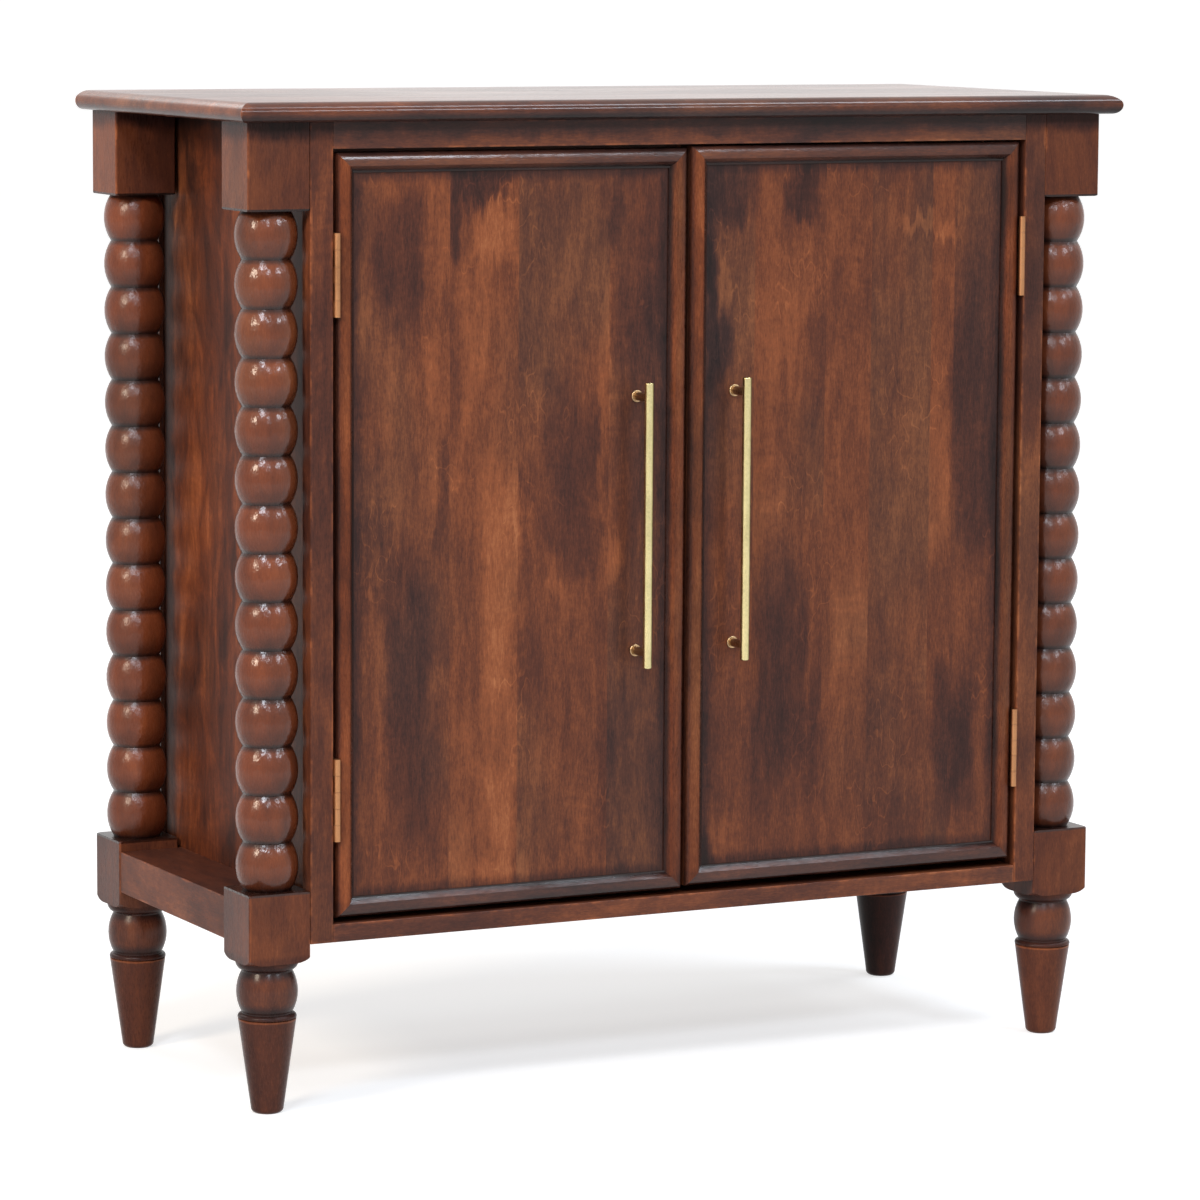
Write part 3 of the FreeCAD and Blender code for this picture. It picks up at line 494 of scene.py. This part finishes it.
def brass(name, pale, deep, rough, painted_reflection_depth=0.0):
    """Drawn brass with fine lines along Z, slight tarnish and handling marks.

    The last argument is how much darker a bar is made in a band on the flank that faces +x, a painted
    reflection.
    """
    made, g, shader, point = new_material(name)
    flank = g.normal()[0]
    painted_reflection_band = g.math("MULTIPLY", g.step(flank, 0.10, 0.55), g.step(flank, 0.98, 0.75))
    tarnish = g.noise(point, (60, 60, 22), detail=3, roughness=0.6)
    lines = g.noise(point, (3200, 3200, 60), detail=2)
    spots = g.noise(point, (420, 420, 420), detail=2)
    tone = g.total((tarnish, 0.9), (lines, 0.3), (spots, 0.35), (painted_reflection_band, -painted_reflection_depth), (1.0, 0.62))
    g.feed(shader.inputs["Base Color"], g.ramp(tone, [(0.15, deep), (0.7, pale)]))
    g.feed(shader.inputs["Roughness"], g.total((tarnish, 0.25), (lines, 0.2), (1.0, rough)))
    g.feed(shader.inputs["Normal"], g.bump(g.total((lines, 0.6), (spots, 0.4)), 0.2, 0.0002))
    shader.inputs["Metallic"].default_value = 1.0
    return made


def steel(name, pale, deep, rough):
    """Zinc-plated steel or dark ferrite with a faint mottle."""
    made, g, shader, point = new_material(name)
    mottle = g.noise(point, (300, 300, 300), detail=3)
    tone = g.total((mottle, 1.4), (1.0, 0.5))
    g.feed(shader.inputs["Base Color"], g.ramp(tone, [(0.2, deep), (0.8, pale)]))
    g.feed(shader.inputs["Roughness"], g.total((mottle, 0.3), (1.0, rough)))
    shader.inputs["Metallic"].default_value = 1.0
    return made


def plastic(name, pale, deep, rough):
    """Moulded plastic with a fine texture."""
    made, g, shader, point = new_material(name)
    grain = g.noise(point, (1600, 1600, 1600), detail=2)
    cloud = g.noise(point, (90, 90, 90), detail=2)
    tone = g.total((grain, 0.5), (cloud, 0.6), (1.0, 0.5))
    g.feed(shader.inputs["Base Color"], g.ramp(tone, [(0.2, deep), (0.8, pale)]))
    g.feed(shader.inputs["Roughness"], g.total((grain, 0.2), (1.0, rough)))
    g.feed(shader.inputs["Normal"], g.bump(grain, 0.3, 0.0002))
    return made


# Materials on the pieces

def dress(name, material):
    """Give every slot of a CAD node this material."""
    mesh = nodes[name].data
    if not mesh.materials:
        mesh.materials.append(material)
    for slot in nodes[name].material_slots:
        slot.link = "OBJECT"
        slot.material = material


# One seed for each wooden piece, so that no two are cut from the same place of the plank
seeds = itertools.count(1)

# Boards

# Boards of one look, their grain, tone change, roughness and index of refraction, and what else they have
BOARDS = [
    (["top_board"], "x", 0.01, 0.15, 1.31, {"shades": [nose_painted_light_and_shade], "dull": dull_end}),
    (["top_rail"], "x", -0.03, 0.34, 1.33, {"figure": 1.2, "shades": [painted_shadow_under_top]}),
    (["bottom_rail"], "x", -0.02, 0.34, 1.3, {"figure": 1.3}),
    (["door_stop"], "x", -0.05, 0.4, 1.33, {}),
    (["bottom_board"], "x", -0.04, 0.4, 1.33, {}),
    (["shelf"], "x", 0.0, 0.36, 1.33, {}),
    (["back_top_rail", "back_bottom_rail"], "x", -0.04, 0.4, 1.33, {}),
    (["back_left_stile", "back_right_stile"], "z", -0.04, 0.4, 1.33, {}),
    (["back_panel"], "z", -0.06, 0.5, 1.33, {}),
    (["left_stile"], "z", -0.08, 0.36, 1.25, {"shades": [painted_shadow_under_top]}),
    (["right_stile"], "z", -0.01, 0.36, 1.25, {"shades": [painted_shadow_under_top]}),
    (["left_side_panel", "right_side_panel"], "z", 0.0, 0.42, 1.22,
     {"figure": 1.4, "cloudy": 0.85, "red": 0.6, "shades": [painted_shadow_under_top]}),
    (["left_base_rail", "right_base_rail"], "y", -0.06, 0.42, 1.2, {"shades": [painted_shade_on_rail_top]}),
    (["left_top_cleat", "right_top_cleat", "left_shelf_cleat", "right_shelf_cleat"],
     "y", 0.0, 0.4, 1.33, {}),
]
# The under-top, nose and rail-top shades of these boards are painted shade, with painted light at the top
# board's left end
for names, grain, tone, gloss, index, extras in BOARDS:
    for name in names:
        wear = (box_of(name), (0, 1, 2))
        dress(name, wood(f"wood_{name}", grain, next(seeds), tone, gloss, index, wear=wear, **extras))

# Posts

# Tone change of each post, the further darkening of its foot, which is painted shade, and the roughness of
# its wood and of its coat
POSTS = {
    "front_left_post": (-0.03, -0.15, 0.28, 0.17),
    "front_right_post": (0.0, -0.07, 0.34, 0.24),
    "back_left_post": (0.0, -0.04, 0.28, 0.30),
    "back_right_post": (-0.02, -0.36, 0.36, 0.24),
}
for name, (tone, foot_painted_shade, gloss, coat) in POSTS.items():
    # A post's shades are a painted shadow under the top, painted light and shade on the blocks, and stain
    # with painted shade on the bobbins and the foot
    shades = [painted_shadow_under_top, block_painted_light_and_shade, bobbin_stain_and_painted_shade, foot_stain_and_painted_shade(foot_painted_shade)]
    dress(name, wood(f"wood_{name}", "z", next(seeds), tone, gloss, index=1.22, contrast=0.8, ripple=0.05,
                     coat=coat, shades=shades, wear=(box_of(name), (0, 1))))

# Doors

# Tone change of each door
DOORS = {"left": 0.02, "right": -0.01}
# Seams are the share of the door's width from its left, and the tone change past them
DOOR_SEAM_SHARES = {
    "left": [(0.322, 0.03), (0.518, -0.05), (0.780, -0.04)],
    "right": [(0.198, 0.02), (0.412, 0.02), (0.552, -0.02), (0.738, 0.02), (0.808, -0.05)],
}
# Stains are shares of the door's face: from its left, down from its top, half width and half height.
# Then comes the tone change, and for a stain that ends at a seam the share of that seam.
DOOR_STAIN_SHARES = {
    "left": [
        (0.190, 0.140, 0.070, 0.090, -0.22),
        (0.080, 0.210, 0.022, 0.090, 0.12),
        (0.200, 0.045, 0.110, 0.022, 0.06),
        (0.410, 0.040, 0.100, 0.026, -0.30, 0.322),
        (0.335, 0.090, 0.026, 0.050, -0.26, 0.322),
        (0.440, 0.110, 0.070, 0.040, 0.17),
        (0.385, 0.240, 0.050, 0.110, 0.10),
        (0.600, 0.100, 0.110, 0.060, -0.03),
        (0.700, 0.160, 0.060, 0.040, 0.07),
        (0.800, 0.075, 0.022, 0.045, -0.20),
        (0.880, 0.110, 0.050, 0.070, 0.04),
        (0.765, 0.320, 0.014, 0.210, 0.12),
        (0.860, 0.340, 0.075, 0.170, -0.15),
        (0.215, 0.400, 0.090, 0.110, 0.05),
        (0.262, 0.300, 0.014, 0.050, 0.10),
        (0.300, 0.440, 0.020, 0.070, -0.15),
        (0.110, 0.520, 0.060, 0.080, -0.03),
        (0.680, 0.460, 0.085, 0.120, -0.14),
        (0.560, 0.340, 0.030, 0.070, 0.07),
        (0.625, 0.565, 0.030, 0.030, 0.13),
        (0.800, 0.550, 0.022, 0.028, 0.15),
        (0.466, 0.720, 0.058, 0.290, 0.14),
        (0.466, 0.560, 0.040, 0.110, 0.05),
        (0.480, 0.900, 0.040, 0.080, 0.07),
        (0.370, 0.800, 0.050, 0.170, 0.05),
        (0.205, 0.710, 0.070, 0.190, -0.19),
        (0.285, 0.830, 0.022, 0.100, -0.10),
        (0.090, 0.890, 0.040, 0.080, 0.06),
        (0.150, 0.750, 0.160, 0.260, -0.05),
        (0.640, 0.700, 0.110, 0.090, -0.05),
        (0.780, 0.850, 0.030, 0.110, -0.08),
        (0.500, 0.955, 0.280, 0.020, 0.08),
    ],
    "right": [
        (0.125, 0.065, 0.070, 0.042, -0.24),
        (0.333, 0.063, 0.050, 0.036, -0.27),
        (0.240, 0.060, 0.040, 0.035, 0.06),
        (0.066, 0.230, 0.022, 0.110, -0.24),
        (0.105, 0.175, 0.024, 0.050, 0.16),
        (0.104, 0.260, 0.034, 0.045, -0.18),
        (0.290, 0.210, 0.090, 0.110, 0.09),
        (0.385, 0.280, 0.036, 0.060, -0.13),
        (0.520, 0.270, 0.080, 0.120, -0.04),
        (0.740, 0.112, 0.110, 0.014, 0.17),
        (0.830, 0.060, 0.090, 0.040, 0.05),
        (0.770, 0.440, 0.032, 0.130, 0.11),
        (0.880, 0.370, 0.075, 0.210, -0.21),
        (0.680, 0.450, 0.060, 0.110, 0.04),
        (0.480, 0.770, 0.065, 0.230, 0.07),
        (0.140, 0.650, 0.050, 0.300, 0.04),
        (0.290, 0.700, 0.080, 0.150, -0.20),
        (0.280, 0.640, 0.035, 0.045, -0.10),
        (0.320, 0.560, 0.030, 0.040, -0.10),
        (0.400, 0.780, 0.020, 0.140, -0.06),
        (0.830, 0.830, 0.065, 0.110, -0.22),
        (0.660, 0.760, 0.060, 0.180, 0.02),
        (0.920, 0.700, 0.040, 0.080, -0.05),
        (0.250, 0.930, 0.180, 0.030, 0.04),
        (0.060, 0.800, 0.022, 0.180, -0.08),
        (0.480, 0.870, 0.420, 0.130, -0.10),
        (0.045, 0.960, 0.032, 0.034, -0.30),
    ],
}
# Grain, tone change, roughness, index of refraction and share of red stain of a door's mouldings
# The darker tone of the top and bottom ones and the red of the upright ones are painted shade and light on
# one wood
MOULDINGS = {
    "top": ("x", -0.10, 0.14, 1.38, 0.0),
    "bottom": ("x", -0.10, 0.14, 1.38, 0.0),
    "left": ("z", 0.0, 0.28, 1.22, 0.6),
    "right": ("z", 0.0, 0.28, 1.22, 0.6),
}
for side, tone in DOORS.items():
    panel = f"{side}_door_panel"
    box = box_of(panel)
    left_side, width = box[0][0], box[1][0] - box[0][0]
    seams = [left_side + share * width for share, change in DOOR_SEAM_SHARES[side]]
    shade = door_shade(box, DOOR_SEAM_SHARES[side], DOOR_STAIN_SHARES[side])
    dress(panel, wood(f"wood_{panel}", "z", next(seeds), tone, gloss=0.38, index=1.26, contrast=1.25,
                      figure=0.5, cloudy=0.3, seams=seams, shades=[shade]))
    for edge, (grain, moulding_tone_and_painted_shade, gloss, index, red) in MOULDINGS.items():
        name = f"{side}_door_{edge}_moulding"
        dress(name, wood(f"wood_{name}", grain, next(seeds), moulding_tone_and_painted_shade, gloss, index, ripple=0.0, red=red,
                         shades=[moulding_stain_and_painted_light(box)]))

# Fittings

zinc = steel("zinc_steel", (0.62, 0.62, 0.60), (0.40, 0.40, 0.39), 0.35)
# The first of these words that a fitting's name holds give its material
FITTINGS = {
    # The handle bar's brass has a painted reflection in a band on one flank
    "handle_bar": brass("handle_brass", (0.66, 0.56, 0.29), (0.36, 0.31, 0.14), 0.26, painted_reflection_depth=0.45),
    # The stems' brass is darker and browner than the bar's, a painted reflection of the wood around them
    "handle_stems": brass("stem_brass_painted_reflection", (0.46, 0.31, 0.17), (0.24, 0.15, 0.08), 0.3),
    "hinge": brass("hinge_brass", (0.42, 0.20, 0.093), (0.26, 0.115, 0.055), 0.38),
    "screws": zinc,
    "strike": zinc,
    "catch_magnets": steel("ferrite", (0.10, 0.10, 0.11), (0.05, 0.05, 0.05), 0.6),
    "catch": plastic("catch_plastic", (0.10, 0.045, 0.025), (0.06, 0.028, 0.016), 0.45),
}
for name in nodes:
    for words, material in FITTINGS.items():
        if words in name:
            dress(name, material)
            break

# Floor

FLOOR_REACH = 150.0


def make_floor():
    """A pale floor that keeps the cabinet's shadow, and looks near white to the camera and in gloss."""
    corners = [(x * FLOOR_REACH, y * FLOOR_REACH, 0) for x, y in ((-1, -1), (1, -1), (1, 1), (-1, 1))]
    mesh = bpy.data.meshes.new("floor")
    mesh.from_pydata(corners, [], [(0, 1, 2, 3)])
    made, g, shader, point = new_material("floor")
    shader.inputs["Base Color"].default_value = (0.62, 0.62, 0.62, 1)
    shader.inputs["Roughness"].default_value = 0.9
    shader.inputs["Specular IOR Level"].default_value = 0.1
    shader.inputs["Emission Color"].default_value = (1, 1, 1, 1)
    glow = g.step(g.length(point), 1.0, 6.0, base=0.62, to=0.9)
    g.feed(shader.inputs["Emission Strength"], g.math("MULTIPLY", g.seen_directly(), glow))
    mesh.materials.append(made)
    floor = bpy.data.objects.new("floor", mesh)
    bpy.context.scene.collection.objects.link(floor)
    return floor


floor = make_floor()

# Light


def make_world():
    """A faint light all round, and white to the camera and in gloss."""
    world = bpy.data.worlds.new("studio")
    world.use_nodes = True
    world.node_tree.nodes.clear()
    g = Graph(world.node_tree)
    ambient = g.node("ShaderNodeBackground", {"Color": (1.0, 0.98, 0.96, 1), "Strength": 0.14})
    white = g.node("ShaderNodeBackground", {"Color": (1, 1, 1, 1), "Strength": 1.0})
    sky = g.node("ShaderNodeMixShader", {0: g.seen_directly(), 1: ambient, 2: white})
    output = world.node_tree.nodes.new("ShaderNodeOutputWorld")
    world.node_tree.links.new(sky, output.inputs["Surface"])
    bpy.context.scene.world = world


# The point that the lamps face
AIM = (-0.1, -0.15, 0.5)


def softbox(name, azimuth, elevation, distance, width, height, radiance, colour):
    """An area lamp that faces the cabinet. Azimuth is degrees to the left of the cabinet's front."""
    lamp = bpy.data.lights.new(name, "AREA")
    lamp.shape = "RECTANGLE"
    lamp.size = width
    lamp.size_y = height
    lamp.energy = radiance * math.pi * width * height
    lamp.color = colour
    holder = bpy.data.objects.new(name, lamp)
    around = Matrix.Rotation(math.radians(-azimuth), 4, "Z")
    upwards = Matrix.Rotation(math.radians(90 - elevation), 4, "X")
    holder.matrix_world = Matrix.Translation(AIM) @ around @ upwards @ Matrix.Translation((0, 0, distance))
    holder.visible_camera = False
    bpy.context.scene.collection.objects.link(holder)


DAYLIGHT = (0.82, 0.90, 1.0)
SUNLIGHT = (1.0, 0.84, 0.66)
# Azimuth, elevation, distance, width, height, radiance and colour of each lamp
LAMPS = {
    "window_high_left": (45, 43, 4.0, 0.75, 0.60, 42, DAYLIGHT),
    "window_middle": (19, 34, 4.0, 0.60, 0.50, 28, DAYLIGHT),
    "window_right": (-27, 34, 4.0, 0.90, 0.50, 28, DAYLIGHT),
    "window_far_right": (-60, 32, 4.0, 0.60, 0.50, 14, DAYLIGHT),
    "skylight_right": (-75, 62, 4.0, 0.80, 1.60, 15, DAYLIGHT),
    "sun_left": (72, 26, 4.0, 0.90, 0.80, 38, SUNLIGHT),
    "fill_behind": (168, 38, 5.0, 3.0, 2.0, 2.6, (1.0, 0.98, 0.96)),
    "fill_right": (-102, 34, 5.0, 2.4, 2.0, 2.4, (0.96, 0.98, 1.0)),
}
make_world()
for name, settings in LAMPS.items():
    softbox(name, *settings)

# Camera, at the photograph's viewpoint

CAMERA_PLACE = (-2.2390, -4.3921, 1.0556)
# Degrees that the view is turned to the right, tipped down and rolled
CAMERA_TURN = 27.01
CAMERA_DROP = 7.235
CAMERA_ROLL = 0.370
CAMERA_LENS = 155.517
SENSOR_WIDTH = 36


def make_camera():
    """The camera, with its place, turn and lens as fitted to the photograph."""
    data = bpy.data.cameras.new("camera")
    data.sensor_width = SENSOR_WIDTH
    data.sensor_fit = "HORIZONTAL"
    data.lens = CAMERA_LENS
    data.clip_end = 500
    camera = bpy.data.objects.new("camera", data)
    bpy.context.scene.collection.objects.link(camera)
    camera.matrix_world = (
        Matrix.Translation(CAMERA_PLACE)
        @ Matrix.Rotation(math.radians(-CAMERA_TURN), 4, "Z")
        @ Matrix.Rotation(math.radians(90 - CAMERA_DROP), 4, "X")
        @ Matrix.Rotation(math.radians(CAMERA_ROLL), 4, "Z")
    )
    return camera


camera = make_camera()
bpy.context.scene.camera = camera
bpy.context.scene.view_settings.view_transform = "Standard"
